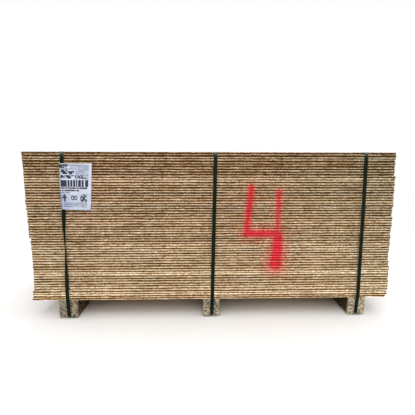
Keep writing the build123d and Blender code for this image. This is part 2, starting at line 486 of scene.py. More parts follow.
def cover_faces(columns, counts, first_rim, inner):
    """Triangles of a flat board face: fans from four inner corners to the rim, and two between."""
    first = first_of_each(counts)
    column = np.arange(columns)
    side = np.searchsorted(first, column, side="right") - 1
    near_end = column - first[side] >= counts[side] // 2
    corner = (side + near_end) % 4
    fans = np.stack([first_rim + column, first_rim + (column + 1) % columns, inner + corner], -1)
    middle = first + counts // 2
    links = np.stack([first_rim + middle, inner + (np.arange(4) + 1) % 4, inner + np.arange(4)], -1)
    inside = np.array([(inner, inner + 1, inner + 2), (inner, inner + 2, inner + 3)])
    return np.concatenate([fans, links, inside])


def boards_piece(name, boxes, settings, source, materials):
    """Boards with sawn edges in relief, closed by flat faces.

    Each edge is a grid: columns round the board, rows through it, moved inwards by edge_inset and
    up and down by a slow wave that keeps the two outer rows in place.
    """
    boards = len(boxes)
    size = (boxes[:, 1] - boxes[:, 0]).mean(0)
    outline, directions, side, share, counts = rim(size[0], size[1], settings.edge_step)
    columns = len(side)
    rows = len(THROUGH)
    inset = edge_inset(source, boards, columns, settings.edge_step, settings)
    wave = smooth_noise(source, (boards, rows, columns), WAVE_LENGTH / settings.edge_step)
    held = (4 * THROUGH * (1 - THROUGH))[None, :, None]
    points = np.empty((boards, rows, columns, 3))
    corner = boxes[:, 0]
    points[..., :2] = corner[:, None, None, :2] + outline - directions * inset[..., None]
    points[..., 2] = corner[:, 2, None, None] + size[2] * THROUGH[None, :, None]
    points[..., 2] += settings.layer_wave * wave * held
    edge_points = points.reshape(-1, 3)
    faces = grid_faces(rows, columns, closed=True)
    per_board = rows * columns
    quads = (np.arange(boards)[:, None, None] * per_board + faces).reshape(-1, 4)
    maps = [edge_maps(boards, counts, side, share)]
    square = np.array([(0, 0), (1, 0), (1, 1), (0, 1)], float)
    inner_xy = square * (size[:2] - 2 * FACE_MARGIN) + FACE_MARGIN
    covers = []
    inner_points = []
    for board in range(boards):
        for level, row in enumerate((0, rows - 1)):
            inner = len(edge_points) + 4 * (2 * board + level)
            height = boxes[board, level, 2]
            inner_points.append(np.column_stack([inner_xy + corner[board, :2], np.full(4, height)]))
            fan = cover_faces(columns, counts, board * per_board + row * columns, inner)
            covers.append(fan[:, ::-1] if level == 0 else fan)
    all_points = np.concatenate([edge_points, *inner_points])
    tile = 1 / len(covers)
    strip = 1 - EDGE_MAP_SHARE
    for number, fan in enumerate(covers):
        local = (all_points[fan.ravel(), :2] - corner[number // 2, :2]) / size[:2]
        start = (tile * (number + 0.05), EDGE_MAP_SHARE + strip * 0.1)
        maps.append(start + local * (tile * 0.9, strip * 0.8))
    flat_faces = np.concatenate(covers)
    tone = source.random(boards)
    through = np.broadcast_to(THROUGH[None, :, None], (boards, rows, columns)).ravel()
    values = {
        "through": np.concatenate([through, np.full(8 * boards, 0.5)]),
        "board": np.concatenate([np.repeat(tone, per_board), np.repeat(tone, 8)]),
    }
    flat_slot = np.concatenate([np.zeros(len(quads)), np.ones(len(flat_faces))])
    return make_mesh(name, all_points, [quads, flat_faces], materials, flat_slot,
                     {"OFBake": np.concatenate(maps)}, values, flat_slot < 0.5)


def stroke_gap(x, z, start, end, radii):
    """How far a point lies outside a stroke: its distance to a segment, less a changing radius.

    Also returns the place along the segment, from 0 to 1.
    """
    run = (end[0] - start[0], end[1] - start[1])
    length_squared = run[0] ** 2 + run[1] ** 2
    along = ((x - start[0]) * run[0] + (z - start[1]) * run[1]) / length_squared
    along = along.highest(0.0).lowest(1.0)
    gap_x = x - start[0] - along * run[0]
    gap_z = z - start[1] - along * run[1]
    distance = (gap_x * gap_x + gap_z * gap_z).root()
    return distance - (radii[0] + along * (radii[1] - radii[0])), along


# Only what lies in front of this has the number
FRONT_LIMIT = -0.6
# Each stroke of the number: both ends, radii there, cover there, and strength of its haze
NUMBER_STROKES = (
    ((0.2595, 0.930), (0.234, 0.628), (0.0215, 0.024), (0.99, 0.97), 0.12),
    ((0.233, 0.611), (0.450, 0.611), (0.029, 0.027), (0.97, 0.92), 0.27),
    ((0.4495, 0.902), (0.4493, 0.850), (0.021, 0.021), (0.80, 0.90), 0.10),
    ((0.4493, 0.850), (0.4480, 0.614), (0.0205, 0.019), (0.88, 0.80), 0.12),
    ((0.4535, 0.585), (0.4505, 0.475), (0.037, 0.042), (0.96, 0.98), 0.28),
    ((0.4505, 0.475), (0.4415, 0.391), (0.039, 0.050), (0.98, 1.0), 0.47),
)


def sprayed_number(finish, x, y, z, paint):
    """Cover of a plain sprayed 4 on the front, with soft ragged rims and a speckled haze."""
    ragged = (finish.noise(x / 0.03, 0.0, z / 0.012, 3.0) - 0.5) * 0.016
    speckle = finish.smooth(0.3, 0.7, finish.noise(x / 0.009, 0.0, z / 0.006, 2.0))
    cover = 0.0
    for start, end, radii, strength, haze in NUMBER_STROKES:
        gap, along = stroke_gap(x, z, start, end, radii)
        solid = finish.smooth(paint.softness, -paint.softness, gap + ragged)
        solid = solid * (strength[0] + along * (strength[1] - strength[0]))
        drift = finish.smooth(paint.overspray, -0.2 * paint.overspray, gap)
        cover = solid.highest(drift * (0.55 + speckle * 0.9) * haze).highest(cover)
    return cover * (y < FRONT_LIMIT)


# Height that a ramp of heights counts as 1, and brightness of the boards at shares of it: painted light,
# brighter at the foot and darker towards the top, with narrow bands of painted shadow under set-back
# tiers, partly also the tiers' own tones
FULL_HEIGHT = 1.17
PAINTED_LIGHT_BY_HEIGHT = (
    (0.122, 1.70), (0.134, 1.42), (0.150, 0.93), (0.20, 0.89), (0.26, 0.86), (0.40, 0.87), (0.50, 0.73),
    (0.57, 0.87), (0.64, 0.77), (0.665, 0.57), (0.685, 0.61), (0.705, 0.94), (0.74, 0.72),
    (0.81, 0.64), (0.84, 0.70), (0.90, 0.73), (0.92, 0.62), (1.0, 0.53),
)


def painted_light_stops():
    """Ramp of painted light on the boards by height: whiter near the foot, browner towards the top."""
    stops = []
    for at, bright in PAINTED_LIGHT_BY_HEIGHT:
        foot = 0.23 - min(at, 0.23)
        green = 1.004 - 0.08 * at + 0.20 * foot
        blue = 0.932 - 0.045 * at + 0.60 * foot
        stops.append((at, (bright, bright * green, bright * blue)))
    return stops


def sawn_edge_finish(settings, paint):
    """Layered strands: dense pale faces, a dark loose core, holes, and the sprayed number.

    The core's limits wander along the board. Long noise makes streaks, short noise strand ends.
    Some boards are paler, some have a deeper, wider dark core as painted shade, and all carry painted
    light that changes with height.
    """
    finish = Finish("osb_sawn_edge")
    x, y, z = finish.parts(finish.place())
    through = finish.attribute("through")
    board = finish.attribute("board")

    def along(length, deep, shift, detail, roughness=0.5):
        """Noise of a given length along the edge, another for each board."""
        return finish.noise(x / length, y / length, through * deep + board * shift, detail, roughness)

    other = finish.random(board * 71.3)
    third = finish.random(board * 113.7 + 3.1)
    fourth = finish.random(board * 151.9 + 7.7)
    # Painted shade: on some boards the dark core is deeper and wider, like the shade under a set-back
    # board
    shaded_board = finish.smooth(0.80, 0.95, fourth)
    pale = finish.smooth(0.22, 0.06, fourth)
    low = finish.smooth(0.8, 0.3, z)
    slow = finish.noise(x / 0.25, y / 0.25, board * 57.0)
    wander = along(0.045, 1.5, 91.0, 2.0) - 0.5
    depth = abs(through + wander * 0.40 - 0.5)
    half = 0.258 + (third - 0.5) * 0.10 + (slow - 0.5) * 0.08 + shaded_board * 0.05 - pale * 0.05
    half = half + finish.smooth(0.5, 1.1, z) * 0.030 + finish.smooth(1.05, 1.085, z) * 0.04
    core = finish.smooth(half + 0.08, half - 0.05, depth)
    grit = along(0.009, 2.0, 31.0, 1.0, 0.6)
    strands = along(0.06, 9.0, 113.0, 3.0, 0.65) * 0.3 + along(0.013, 3.2, 61.0, 2.0, 0.7) * 0.7
    face = finish.mix(finish.smooth(0.355, 0.60, strands), settings.face_dark, settings.face_light)
    warm = finish.smooth(half + 0.20, half + 0.04, depth)
    face = finish.mix(warm, face, (1.0, 0.772, 0.515), "MULTIPLY")
    face = finish.shade(face, 1 + low * 0.06 + pale * 0.30)
    loose = finish.mix(finish.smooth(0.42, 0.68, strands), settings.core_dark, settings.core_light)
    loose = finish.shade(loose, 1 - shaded_board * 0.3 + low * 0.12)
    colour = finish.mix(core, face, loose)
    # Painted shade: the holes between core strands are painted nearly as dark as the darkest strand ends
    hole_shade = finish.smooth(0.61, 0.70, along(0.02, 4.0, 83.0, 1.0)) * finish.smooth(0.44, 0.3, depth)
    colour = finish.mix(hole_shade * 0.9, colour, settings.core_dark)
    # Painted shade: each board is darker along its upper and lower edges, where it meets its neighbours
    seam_shade = finish.smooth(0.47, 0.5, abs(through - 0.5))
    tone = (0.88 + other * 0.24) * (0.84 + slow * 0.32) * (0.40 + grit * 1.2) * (1 - seam_shade * 0.1)
    tone = tone * (1 + finish.smooth(0.0, 1.2, x) * finish.smooth(0.6, 0.25, z) * 0.12)
    colour = finish.shade(colour, tone)
    # Painted light by height: brighter at the foot, darker towards the top, with bands of painted shadow
    colour = finish.mix(1.0, colour, finish.ramp(painted_light_stops(), z / FULL_HEIGHT), "MULTIPLY")
    red = 1 - finish.smooth(0.55, 1.2, x) * 0.055 - finish.smooth(-0.75, -1.2, x) * 0.03
    red = red - finish.smooth(0.2, 0.7, x) * finish.smooth(0.6, 1.0, z) * 0.05
    colour = finish.mix(1.0, colour, finish.vector(red, 1.0, 1.0), "MULTIPLY")
    light = finish.node("RGBToBW", None, {0: colour})
    wet = finish.shade(paint.colour, 0.47 + (light * 1.6).lowest(1.0) * 0.60)
    colour = finish.mix(sprayed_number(finish, x, y, z, paint) * 0.97, colour, wet)
    normal = finish.bump(strands * 0.6 + strands * core * 0.5 + grit * 0.25, 0.0012, 0.7)
    return finish.surface(Base_Color=colour, Roughness=0.9, Specular_IOR_Level=0.05, Normal=normal)


# Turns of the sheets of strands in degrees, a strand's size, and its tones
STRAND_TURNS = (62.0, -34.0, 27.0, -19.0, 12.0, -9.0, 4.0, 19.0, -3.0)
STRAND_LENGTH = 0.115
STRAND_WIDTH = 0.019
STRAND_TONES = (
    (0.0, (0.22, 0.12, 0.05)),
    (0.16, (0.37, 0.22, 0.10)),
    (0.45, (0.55, 0.36, 0.18)),
    (0.8, (0.68, 0.49, 0.28)),
    (1.0, (0.79, 0.62, 0.40)),
)


def strand_face_finish(settings):
    """Pressed strands: sheets of long cells, each sheet turned its own way and laid on the last.

    In a sheet, stretched Voronoi cells are strands; a random share of them is there. Each strand
    has a tone of its own, grain along it and a thin dark rim of painted shade where strands overlap.
    """
    finish = Finish("osb_strand_face")
    place = finish.place()
    colour = settings.face_dark
    bumps = 0.0
    for number, turn in enumerate(STRAND_TURNS):
        mapping = {"Vector": place, "Location": (0.37 * number, 0.61 * number, 0.0),
                   "Rotation": (0.0, 0.0, radians(turn))}
        u, v, _ = finish.parts(finish.node("Mapping", None, mapping))
        bent = finish.noise(u / 0.16, v / 0.16, 7.7 * number, 1.0) - 0.5
        cell = finish.vector(u / STRAND_LENGTH, (v + bent * 0.012) / STRAND_WIDTH, 0.0)
        pick, tone, shift = finish.cells(cell, "2D", 0.95)
        rim_kind = {"voronoi_dimensions": "2D", "feature": "DISTANCE_TO_EDGE"}
        inside = finish.node("TexVoronoi", rim_kind, {"Vector": cell, "Scale": 1.0, "Randomness": 0.95})
        there = (pick > 0.56) * finish.smooth(0.012, 0.03, inside)
        grain = finish.noise(u / 0.06, v / 0.0013 + shift * 40.0, tone * 9.0, 2.0, 0.6)
        strand = finish.shade(finish.ramp(STRAND_TONES, tone), 0.74 + grain * 0.5)
        # Painted shade: each strand is darker near its rim, where the strands laid over it would shade it
        strand = finish.shade(strand, 0.66 + finish.smooth(0.015, 0.10, inside) * 0.34)
        colour = finish.mix(there, colour, strand)
        level = 0.3 + 0.07 * number + tone * 0.15 + grain * 0.08
        bumps = bumps + (level - bumps) * there
    normal = finish.bump(bumps, 0.0016, 0.8)
    return finish.surface(Base_Color=colour, Roughness=0.72, Specular_IOR_Level=0.3, Normal=normal)


class OSB_OT_add_boards(bpy.types.Operator):
    """Builds every lift of boards and the top board"""
    bl_idname = "osb_stack.add_boards"
    bl_label = "Boards"

    def execute(self, context):
        settings = context.scene.osb_boards
        source = np.random.default_rng(settings.seed)
        edge = sawn_edge_finish(settings, context.scene.osb_paint)
        face = strand_face_finish(settings)
        for node in [*LIFT_NODES, TOP_NODE]:
            piece = boards_piece("boards_" + node, board_boxes(node), settings, source, [edge, face])
            dress(piece, "osb", node)
        return {"FINISHED"}


# Bearers

# Spacing of mesh points across a bearer, the least there, and along it; rings of points on its ends
PROFILE_STEP = 3.5 * MM
PROFILE_LEAST = 0.4 * MM
STATION_STEP = 0.013
END_RINGS = 13
# Depth of the dents in its sides and in its ends, and radius of its upper edges
DENT_DEPTH = 0.35 * MM
END_DENT_DEPTH = 0.3 * MM
TOP_RADIUS = 1.5 * MM
# Tones of the left, middle and right bearer
BEARER_TONES = (0.73, 0.98, 1.22)


def bearer_profile(width, height, channel_place, settings):
    """Outline of a bearer across its length, counter-clockwise from the middle of the channel.

    A rectangle with small arcs at the top, larger ones at the bottom and a channel with sloping
    walls underneath, sampled evenly.
    """
    half = width / 2
    floor_half = settings.channel_width / 2
    mouth = floor_half + settings.channel_depth / 3
    radius = settings.corner_radius
    turn = np.linspace(0, pi / 2, 7)
    low_arc = np.column_stack([half - radius + radius * np.sin(turn), radius - radius * np.cos(turn)])
    high_arc = np.column_stack([half - TOP_RADIUS + TOP_RADIUS * np.cos(turn),
                                height - TOP_RADIUS + TOP_RADIUS * np.sin(turn)])
    right = np.concatenate([low_arc, high_arc])
    left = right[::-1] * (-1, 1)
    channel = np.array([(-mouth, 0), (-floor_half, settings.channel_depth), (0, settings.channel_depth),
                        (floor_half, settings.channel_depth), (mouth, 0)]) + (channel_place, 0)
    loop = np.concatenate([channel[2:], right, left, channel[:3]])
    lengths = lengths_along(loop)
    even = np.linspace(0, lengths[-1], round(lengths[-1] / PROFILE_STEP) + 1)[:-1]
    keep = np.unique(np.concatenate([even, lengths[:-1]]).round(5))
    keep = keep[np.concatenate([[True], np.diff(keep) > PROFILE_LEAST])]
    return np.column_stack([np.interp(keep, lengths, loop[:, 0]), np.interp(keep, lengths, loop[:, 1])])


def bearer_piece(name, side, tone, settings, source, material):
    """A pressed-chip block: the profile carried along Y, with pitted ends that shrink to a point.

    Sides sink by a slow noise, ends by pits; the lower end edges are cut back by a chamfer.
    """
    low, high = (np.array(corner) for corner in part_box("bearer_" + side))
    width, length, height = high - low
    channel_place = strap_line(side)[0] - (low[0] + high[0]) / 2
    profile = bearer_profile(width, height, channel_place, settings)
    middle = np.array([0, height / 2])
    columns = len(profile)
    stations = np.linspace(-length / 2, length / 2, round(length / STATION_STEP))
    shrink = np.linspace(1, 0, END_RINGS + 2)[1:-1]
    rows = len(stations) + 2 * END_RINGS
    along = np.pad(stations, END_RINGS, mode="edge")
    scale = np.concatenate([shrink[::-1], np.ones(len(stations)), shrink])
    section = middle + (profile - middle) * scale[:, None, None]
    dents = smooth_noise(source, (rows, columns), 4.0)
    sunk = DENT_DEPTH * np.clip(dents + 0.8, 0, 3)
    inner_row = (scale < 1)[:, None]
    section = section + unit(middle - profile) * np.where(inner_row, 0, sunk)[..., None]
    pits = smooth_noise(source, (rows, columns), 3.0)
    depth = settings.roughness_depth * step_up(0.4, 2.4, pits)
    depth = depth + END_DENT_DEPTH * np.clip(dents, 0, 2)
    inward = -np.sign(along)[:, None] * np.where(inner_row, depth, 0)
    points = np.empty((rows, columns, 3))
    points[..., 0] = (low[0] + high[0]) / 2 + section[..., 0]
    points[..., 1] = (low[1] + high[1]) / 2 + along[:, None] + inward
    to_end = length / 2 - abs(along)[:, None]
    points[..., 2] = low[2] + np.maximum(section[..., 1], settings.end_chamfer - to_end)
    flat = points.reshape(-1, 3)
    tips = np.array([points[0].mean(0), points[-1].mean(0)])
    quads = grid_faces(rows, columns, closed=True)[:, ::-1]
    column = np.arange(columns)
    following = (column + 1) % columns
    last = (rows - 1) * columns
    fan_front = np.column_stack([column, following, np.full(columns, len(flat))])
    fan_back = np.column_stack([last + following, last + column, np.full(columns, len(flat) + 1)])
    under = np.broadcast_to(np.where(inner_row, 0.0, to_end), (rows, columns)).ravel()
    values = {"under": np.concatenate([under, [0.0, 0.0]]), "tone": np.full(len(flat) + 2, tone)}
    return make_mesh(name, np.concatenate([flat, tips]), [quads, fan_front, fan_back], [material],
                     values=values)


def pressed_chip_finish(settings):
    """Coarse speckle of pressed chips in faint level beds, darker fine bark between them.

    The blocks darken away from their ends, under the boards, as painted shade: deeper higher up, further
    in and on the right bearer, and browner. A painted shadow darkens their tops.
    """
    finish = Finish("pressed_chips")
    x, y, z = finish.parts(finish.place())
    under = finish.attribute("under")
    own = finish.attribute("tone")
    warp = finish.noise(x / 0.02, y / 0.03, z / 0.012, 2.0) - 0.5
    cell = finish.vector(x / 0.0105 + warp, y / 0.017 + warp, z / 0.0085 + warp)
    tone, pick, _ = finish.cells(cell)
    fleck, dark, _ = finish.cells(finish.vector(x / 0.005, y / 0.008, z / 0.004))
    beds = finish.noise(x / 0.2, y / 0.3, z / 0.016, 2.0)
    grain = finish.noise(x / 0.004, y / 0.01, z / 0.002, 3.0, 0.6)
    blend = tone * 0.55 + fleck * 0.28 + grain * 0.17
    colour = finish.mix(finish.smooth(0.22, 0.80, blend), settings.chip_dark, settings.chip_light)
    colour = finish.mix((dark > 0.90) * 0.7, colour, settings.chip_dark)
    colour = finish.mix((pick > 0.86) * 0.5, colour, (0.68, 0.59, 0.45))
    # Painted shade under the boards: darker away from the ends, higher up, further in and on the right
    # bearer, and browner
    painted_shade_mask = finish.smooth(0.0, 0.035, under)
    far = finish.smooth(0.03, 0.45, under) * 0.16
    deep = 1 - painted_shade_mask * (0.58 + finish.smooth(0.02, 0.125, z) * 0.24 + far)
    deep = deep * (1 - painted_shade_mask * finish.smooth(0.3, 0.9, x) * 0.32)
    # Painted shadow along the tops, where the boards overhang them
    contact_shadow = 1 - finish.smooth(0.130, 0.140, z) * 0.6
    own = own + (0.80 - own) * painted_shade_mask
    colour = finish.shade(colour, (0.72 + beds * 0.56) * own * deep * contact_shadow)
    colour = finish.mix(painted_shade_mask * 0.8, colour, (1.0, 0.76, 0.48), "MULTIPLY")
    normal = finish.bump(blend + grain * 0.4, 0.0016, 0.8)
    return finish.surface(Base_Color=colour, Roughness=0.9, Specular_IOR_Level=0.06, Normal=normal)


class OSB_OT_add_bearers(bpy.types.Operator):
    """Builds the three bearers"""
    bl_idname = "osb_stack.add_bearers"
    bl_label = "Bearers"

    def execute(self, context):
        settings = context.scene.osb_bearers
        source = np.random.default_rng(context.scene.osb_boards.seed + 1)
        material = pressed_chip_finish(settings)
        for side, tone in zip(SIDES, BEARER_TONES):
            node = "bearer_" + side
            piece = bearer_piece("block_" + node, side, tone, settings, source, material)
            dress(piece, "pressed_chip", node)
        return {"FINISHED"}


# Straps

# Turn of the twisted run at places down it, both as shares of the whole
TWIST_PLACES = (0.0, 0.07, 0.15, 0.25, 0.35, 0.43, 0.475, 0.525, 0.56, 0.64, 0.70, 0.80, 0.90, 1.0)
TWIST_TURNS = (0.0, 0.12, 0.26, 0.39, 0.48, 0.505, 0.555, 0.70, 0.735, 0.755, 0.778, 0.85, 0.92, 1.0)
# How far above or below a board counts as near it, and the gap that is kept to it
TWIST_NEAR = 0.045
TWIST_CLEARANCE = 0.3 * MM
# Spacing of mesh points along a plain strap and along the twisted one
PLAIN_STEP = 0.012
TWIST_STEP = 0.006
# Edges of the outline that are left out are shorter, and corners turn less (as a sine)
LEAST_EDGE = 2 * MM
LEAST_TURN = 0.001
# Half the angle between two edges, below which their corner is sharp
SHARP_HALF_ANGLE = 1.3


def load_corners(inset):
    """Corners of the strap outline in (Y, Z), moved inwards, counter-clockwise as seen from +X.

    The outline is the convex hull of the plain middle strap; corners that hardly turn are left out.
    """
    points = node_points("strap_middle")[:, 1:]
    hull = points[convex_hull_2d([Vector(point) for point in points])]
    if np.cross(hull, np.roll(hull, -1, axis=0)).sum() < 0:
        hull = hull[::-1]
    for _ in range(2):
        into = hull - np.roll(hull, 1, axis=0)
        hull = hull[np.linalg.norm(into, axis=1) > LEAST_EDGE]
        into = unit(hull - np.roll(hull, 1, axis=0))
        out = np.roll(into, -1, axis=0)
        hull = hull[np.cross(into, out) > LEAST_TURN]
    into = unit(hull - np.roll(hull, 1, axis=0))
    out = np.roll(into, -1, axis=0)
    normal_in = np.column_stack([-into[:, 1], into[:, 0]])
    normal_out = np.column_stack([-out[:, 1], out[:, 0]])
    shift = (normal_in + normal_out) / (1 + (normal_in * normal_out).sum(1))[:, None]
    return hull + shift * inset


def rounded_loop(corners, radius, spacing):
    """Points along a closed outline whose corners are arcs, and the outward direction at each.

    The third array is 1 on the arcs of sharp corners and 0 elsewhere.
    """
    into = unit(np.roll(corners, 1, axis=0) - corners)
    out = unit(np.roll(corners, -1, axis=0) - corners)
    half_turn = np.arccos(np.clip((into * out).sum(1), -1, 1)) / 2
    centres = corners + unit(into + out) * (radius / np.sin(half_turn))[:, None]
    starts = corners + into * (radius / np.tan(half_turn))[:, None]
    ends = corners + out * (radius / np.tan(half_turn))[:, None]
    places = []
    outward = []
    bent = []
    for k in range(len(corners)):
        first = starts[k] - centres[k]
        last = ends[k] - centres[k]
        sharp = half_turn[k] < SHARP_HALF_ANGLE
        share = np.linspace(0, 1, 6 if sharp else 2)[:, None]
        spoke = unit(first * (1 - share) + last * share)
        places.append(centres[k] + spoke * radius)
        outward.append(spoke)
        bent.append(np.full(len(share), float(sharp)))
        run = starts[(k + 1) % len(corners)] - ends[k]
        count = max(2, round(np.linalg.norm(run) / spacing))
        between = np.linspace(0, 1, count + 1)[1:-1, None]
        places.append(ends[k] + run * between)
        normal = last / np.linalg.norm(last)
        outward.append(np.broadcast_to(normal, (len(between), 2)))
        bent.append(np.zeros(len(between)))
    return np.concatenate(places), np.concatenate(outward), np.concatenate(bent)


def strap_profile(width, thickness):
    """Half-turn symmetric section of flat strap with worn corners, as (across, outward) points."""
    bevel = thickness * 0.3
    half = width / 2
    side = thickness / 2
    upper = [(half, side - bevel), (half - bevel, side), (half / 3, side), (-half / 3, side),
             (bevel - half, side), (-half, side - bevel)]
    return np.concatenate([upper, -np.array(upper)])


def twist_stand_off(tight, heights, reach):
    """How far a twisted run stands off its tight line to stay clear of the boards near it."""
    boxes = np.concatenate([board_boxes(node) for node in [*LIFT_NODES, TOP_NODE]])
    near = abs(boxes[None, :, 0, 2] - heights[:, None]) < TWIST_NEAR
    fronts = np.where(near, boxes[None, :, 0, 1], 0.0).min(1)
    return np.maximum(tight - (fronts - TWIST_CLEARANCE - reach), 0.0)


def strap_piece(name, side, settings, material, twist=None):
    """A strap: its section carried round the tight outline of the load, leaning with height.

    Where the strap is twisted, the section turns about the run; there it stands off the boards
    only as far as it must. A half twist closes on itself because the section looks the same
    after half a turn.
    """
    foot, lean = strap_line(side)
    spacing = TWIST_STEP if twist else PLAIN_STEP
    corners = load_corners(settings.thickness / 2)
    path, outward, bent = rounded_loop(corners, settings.bend_radius, spacing)
    highest = np.argmax(path[:, 1] - path[:, 0])
    path, outward, bent = (np.roll(part, -highest, axis=0) for part in (path, outward, bent))
    turn = np.zeros(len(path))
    reach = np.zeros(len(path))
    if twist:
        in_front = np.arange(len(path)) <= np.argmin(path[:, 0] + path[:, 1])
        length = twist["top"] - twist["bottom"]
        share = (twist["top"] - path[:, 1]) / length
        turn = pi * np.where(in_front, np.interp(share, TWIST_PLACES, TWIST_TURNS), 1.0)
        heights = twist["top"] - length * np.array(TWIST_PLACES)
        run_up = path[in_front][::-1]
        tight = np.interp(heights, run_up[:, 1], run_up[:, 0])
        half = settings.width / 2 * np.sin(pi * np.array(TWIST_TURNS))
        off = twist_stand_off(tight, heights, half + settings.thickness / 2)
        reach = np.where(in_front, np.interp(share, TWIST_PLACES, off), 0.0)
        reach[(share < 0) | (share > 1)] = 0.0
    profile = strap_profile(settings.width, settings.thickness)
    across = profile[None, :, 0] * np.cos(turn)[:, None] + profile[None, :, 1] * np.sin(turn)[:, None]
    away = profile[None, :, 1] * np.cos(turn)[:, None] - profile[None, :, 0] * np.sin(turn)[:, None]
    away = away + reach[:, None]
    points = np.empty((len(path), len(profile), 3))
    points[..., 0] = foot + lean * path[:, 1, None] + across
    points[..., 1] = path[:, 0, None] + outward[:, 0, None] * away
    points[..., 2] = path[:, 1, None] + outward[:, 1, None] * away
    rows, columns = points.shape[:2]
    quads = grid_faces(rows, columns, closed=True)
    last = (rows - 1) * columns
    column = np.arange(columns)
    jump = columns // 2 if twist else 0
    close = np.column_stack([last + column, last + (column + 1) % columns,
                             (column + 1 + jump) % columns, (column + jump) % columns])
    values = {"run": np.repeat(lengths_along(path), columns), "across": np.tile(profile[:, 0], rows),
              "bent": np.repeat(bent, columns)}
    all_quads = np.concatenate([quads, close])
    return make_mesh(name, points.reshape(-1, 3), [all_quads], [material], values=values,
                     smooth=np.zeros(len(all_quads), bool))


def strap_finish(settings, top):
    """Dark embossed plastic: a fine waffle along the strap, scuffs, and a painted pale highlight over
    sharp bends.

    The painted highlight fades out by a cube below the upper bends and is broken up by the scuffs.
    """
    finish = Finish("strap_plastic")
    x, y, z = finish.parts(finish.place())
    run = finish.attribute("run")
    across = finish.attribute("across")
    waffle = (run * 2 * pi / 0.004).wave() * (across * 2 * pi / 0.0032).wave()
    scuffs = finish.noise(across / 0.003, run / 0.06, 0.0, 3.0, 0.6)
    patches = finish.noise(x / 0.2, y / 0.2, z / 0.12, 2.0)
    worn = finish.smooth(0.6, 0.85, scuffs)
    colour = finish.shade(settings.colour, 0.7 + patches * 0.6)
    colour = finish.mix(worn * 0.15, colour, (0.05, 0.085, 0.07))
    # Painted highlight: a pale reflection over the sharp bends, fading down the front and back runs below
    # the top
    below = (1 - (top - z) / 0.055).highest(0.0) * finish.smooth(0.60, 0.622, abs(y))
    bend_highlight = (below * below * below * 0.7).highest(finish.attribute("bent"))
    colour = finish.mix(bend_highlight * (0.3 + scuffs * 0.6), colour, (0.30, 0.37, 0.33))
    normal = finish.bump(waffle, 0.00025, 0.6)
    return finish.surface(Base_Color=colour, Roughness=0.45 + scuffs * 0.2, Normal=normal,
                          Specular_IOR_Level=0.04)


class OSB_OT_add_straps(bpy.types.Operator):
    """Builds the three straps, the left one with a half twist in front"""
    bl_idname = "osb_stack.add_straps"
    bl_label = "Straps"

    def execute(self, context):
        settings = context.scene.osb_straps
        material = strap_finish(settings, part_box("strap_middle")[1].z)
        twist = {"top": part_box("label")[0].z - settings.twist_gap,
                 "bottom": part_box(LIFT_NODES[0])[0].z + settings.twist_foot}
        for side in SIDES:
            node = "strap_" + side
            piece = strap_piece("band_" + node, side, settings, material,
                                twist if side == "left" else None)
            dress(piece, "strap", node)
        return {"FINISHED"}


# Label

PAPER_THICKNESS = 0.4 * MM
LABEL_ROWS = 61
LABEL_COLUMNS = 43
# How far the sheet lies off the boards, and further off over the strap
LABEL_GAP = 0.3 * MM
OVER_STRAP = 1.3 * MM
# Depths of the creased top strip and of the ripples
CREASE = 3.5 * MM
RIPPLE = 0.6 * MM
# How far the left side bows out half way down, and is tucked in at its foot
SIDE_BOW = 3.5 * MM
FOOT_TUCK = 4.0 * MM
# How far the lower edge ends above its full height at the right, and more at the left
FOOT_SHORT = 3.0 * MM
LEFT_SHORT = 5.0 * MM


def label_piece(settings, material):
    """A closed paper sheet: a grid across and down, front and back, joined round its rim.

    It rides up over the strap at its left, lies near the boards at its right, lifts off along
    its lower edge by a power of the place down it, and its top strip is creased forward.
    """
    points = node_points("label")
    low, high = points.min(0), points.max(0)
    bottom = points[points[:, 2] < low[2] + MM]
    top = points[points[:, 2] > high[2] - MM]
    left, right = bottom[:, 0].min(), bottom[:, 0].max()
    top_left, top_right = top[:, 0].min(), top[:, 0].max()
    width = top_right - top_left
    foot, rise = bottom[:, 1].max(), top[:, 1].max() - bottom[:, 1].max()
    height = high[2] - low[2]
    rows, columns = LABEL_ROWS, LABEL_COLUMNS
    across = np.linspace(0, 1, columns)[None, :]
    down = np.linspace(0, 1, rows)[:, None]
    away = OVER_STRAP * (1 - step_up(0.24, 0.5, across)) + LABEL_GAP
    curl = settings.curl * np.clip((down - 0.80) / 0.20, 0, 1) ** 2
    curl = curl * (0.7 + 0.3 * np.sin(2.6 * across + 0.5))
    crease = CREASE * step_up(0.055, 0.0, down) * (0.7 + 0.3 * np.cos(9 * across))
    ripple = RIPPLE * np.sin(7 * across + 5 * down) * np.sin(pi * down)
    back = foot + rise * (1 - down) - (away + curl + crease + abs(ripple))
    grid = np.empty((2, rows, columns, 3))
    start = left + (top_left - left) * (1 - down)
    start = start - SIDE_BOW * np.sin(pi * down) + FOOT_TUCK * step_up(0.8, 1, down)
    end = right + (top_right - right) * (1 - down)
    grid[..., 0] = start + (end - start) * across
    grid[..., 2] = high[2] - down * (height - FOOT_SHORT - LEFT_SHORT * (1 - across))
    grid[0, ..., 1] = back - PAPER_THICKNESS
    grid[1, ..., 1] = back
    count = rows * columns
    front = grid_faces(rows, columns)[:, ::-1]
    behind = front[:, ::-1] + count
    index = np.arange(count).reshape(rows, columns)
    edge = np.concatenate([index[0, :-1], index[:-1, -1], index[-1, :0:-1], index[:0:-1, 0]])
    following = np.roll(edge, -1)
    rim_faces = np.column_stack([edge, following, following + count, edge + count])
    values = {"across": np.broadcast_to(across, (2, rows, columns)).ravel() * width,
              "down": np.broadcast_to(down, (2, rows, columns)).ravel() * height,
              "front": np.repeat([1.0, 0.0], count)}
    return make_mesh("sheet_label", grid.reshape(-1, 3), [front, behind, rim_faces], [material],
                     values=values)


def band(finish, low, high, value, soft=0.0006):
    """1 between low and high."""
    return finish.smooth(low - soft, low + soft, value) * finish.smooth(high + soft, high - soft, value)


